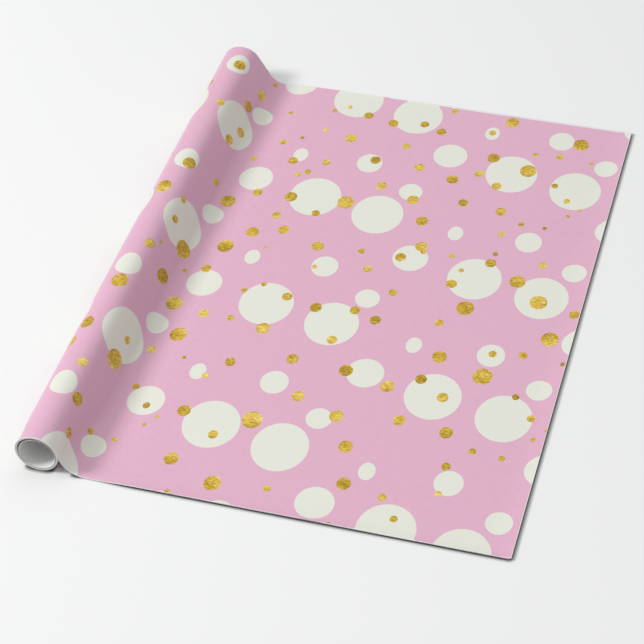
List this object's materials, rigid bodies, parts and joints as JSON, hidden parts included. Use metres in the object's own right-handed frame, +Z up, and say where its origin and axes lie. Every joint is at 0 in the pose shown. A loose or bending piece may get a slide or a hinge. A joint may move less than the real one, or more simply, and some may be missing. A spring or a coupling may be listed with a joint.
{
  "type": "gift-wrap roll",
  "caption": "Roll of printed gift wrap on a loose board core, partly unrolled: the web leaves the roll in an S-shaped take-off and lies flat to its free edge.",
  "frame": {"origin": "on the surface that the roll rests on, under the middle of the whole footprint", "axes": "+Y along the roll's axis, +X from the roll towards the free edge of the sheet, +Z up"},
  "size_m": [0.5614, 0.762, 0.0508],
  "materials": {
    "printed_paper": "satin coated print",
    "core_liner": "matte",
    "core_board": "matte"
  },
  "bodies": {
    "takeoff": {"outer_turn": "printed_paper", "takeoff_slope": "printed_paper", "foot_bend": "printed_paper", "reserve_strip": "printed_paper"},
    "sheet": {"laid_sheet": "printed_paper"},
    "wound_roll": {"first_turn": "printed_paper", "wound_turns": "printed_paper"},
    "core": {"core_liner_ply": "core_liner", "core_middle_ply": "core_board", "core_outer_ply": "core_board"}
  },
  "joints": [
    {"name": "pull_out", "type": "slide", "parent": "takeoff", "child": "sheet", "axis": [1, 0, 0], "range_m": [0, 0.468]},
    {"name": "roll_spin", "type": "hinge", "parent": "takeoff", "child": "wound_roll", "pos_m": [-0.2553, 0, 0.0254], "axis": [0, 1, 0], "range_deg": [0, 1060]},
    {"name": "core_slide", "type": "slide", "parent": "wound_roll", "child": "core", "axis": [0, 1, 0], "range_m": [-0.7, 0.7]}
  ],
  "couplings": [
    {"joint": "roll_spin", "follows": "pull_out", "rad_per_m": 39.5}
  ]
}
